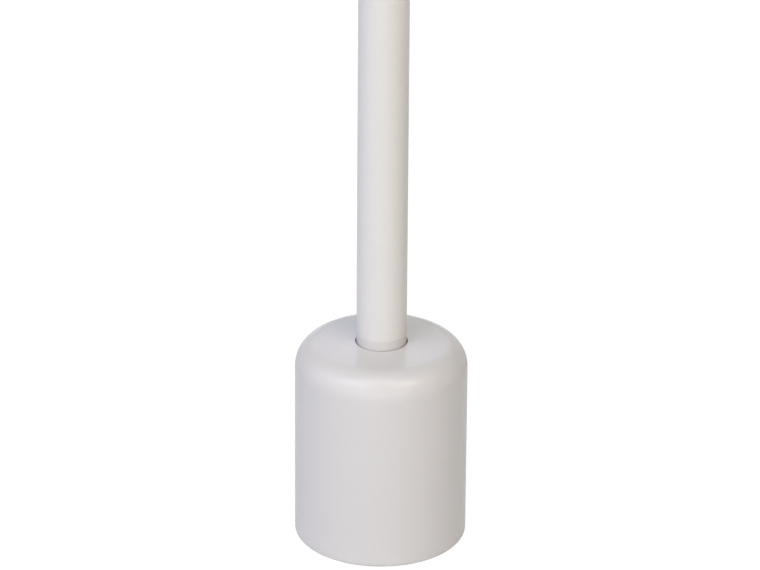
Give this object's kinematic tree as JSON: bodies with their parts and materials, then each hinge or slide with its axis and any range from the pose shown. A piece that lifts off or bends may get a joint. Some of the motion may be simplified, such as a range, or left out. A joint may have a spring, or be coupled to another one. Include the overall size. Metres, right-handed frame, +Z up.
{
  "type": "customer pole display",
  "caption": "Off-white customer display for a shop counter: weighted round pot, swivelling pole and tilting head with a wide dark display window.",
  "frame": {"origin": "centre of the foot pad's underside, on the counter, on the pole's axis", "axes": "+Z up along the pole, -Y towards the customer who reads the display, +X to that customer's right"},
  "size_m": [0.22, 0.11, 0.53],
  "materials": {
    "pot_white": "satin-gloss off-white moulding",
    "pole_white": "satin powder coat",
    "collar_white": "satin moulding",
    "head_white": "fine textured off-white moulding",
    "neck_white": "satin powder coat",
    "plate_steel": "zinc plated",
    "ballast_iron": "as cast, oiled",
    "socket_aluminium": "die cast and bored",
    "bush_acetal": "natural acetal",
    "pad_rubber": "matt",
    "grommet_rubber": "matt",
    "screw_zinc": "zinc plated",
    "screw_black": "black oxide",
    "washer_fibre": "vulcanised fibre",
    "spring_steel": "spring temper",
    "window_smoke": "smoked, polished",
    "gasket_black": "closed cell foam",
    "tube_glass": "clear glass over dark anodes",
    "pin_tin": "tinned",
    "board_green": "solder mask",
    "standoff_brass": "turned",
    "header_black": "moulded",
    "connector_ivory": "moulded",
    "chip_black": "moulded",
    "capacitor_sleeve": "shrink sleeve",
    "coil_core": "ferrite"
  },
  "bodies": {
    "base": {"base_shell": "pot_white", "base_plate": "plate_steel", "foot_pad": "pad_rubber", "ballast_ring": "ballast_iron", "pole_socket": "socket_aluminium", "lower_bush": "bush_acetal", "upper_bush": "bush_acetal", "lead_grommet": "grommet_rubber", "thrust_washer": "bush_acetal", "shell_screws": "screw_zinc", "socket_screws": "screw_zinc", "ballast_screws": "screw_zinc", "stop_screw": "screw_black"},
    "pole": {"swivel_stem": "socket_aluminium", "stem_foot": "bush_acetal", "pole_collar": "collar_white", "pole_tube": "pole_white", "pole_screws": "screw_black", "neck": "neck_white", "neck_screw": "screw_black", "friction_washers": "washer_fibre", "spring_washers": "spring_steel", "hinge_screws": "screw_zinc"},
    "head": {"hinge_bracket": "neck_white", "hinge_caps": "head_white", "bracket_screws": "screw_zinc", "rear_cover": "head_white", "front_bezel": "head_white", "housing_screws": "screw_zinc", "head_grommet": "grommet_rubber", "filter_window": "window_smoke", "window_gasket": "gasket_black", "display_tube": "tube_glass", "tube_pins": "pin_tin", "display_board": "board_green", "board_screws": "screw_zinc", "standoffs": "standoff_brass", "interface_board": "board_green", "interface_screws": "screw_zinc", "board_header": "header_black", "lead_connector": "connector_ivory", "controller_chip": "chip_black", "driver_chips": "chip_black", "capacitors": "capacitor_sleeve", "filament_coil": "coil_core"}
  },
  "joints": [
    {"name": "pole_swivel", "type": "hinge", "parent": "base", "child": "pole", "pos_m": [0, 0, 0.06], "axis": [0, 0, 1], "range_deg": [-155, 155]},
    {"name": "head_tilt", "type": "hinge", "parent": "pole", "child": "head", "pos_m": [0, 0, 0.424], "axis": [1, 0, 0], "range_deg": [-40, 15]}
  ]
}
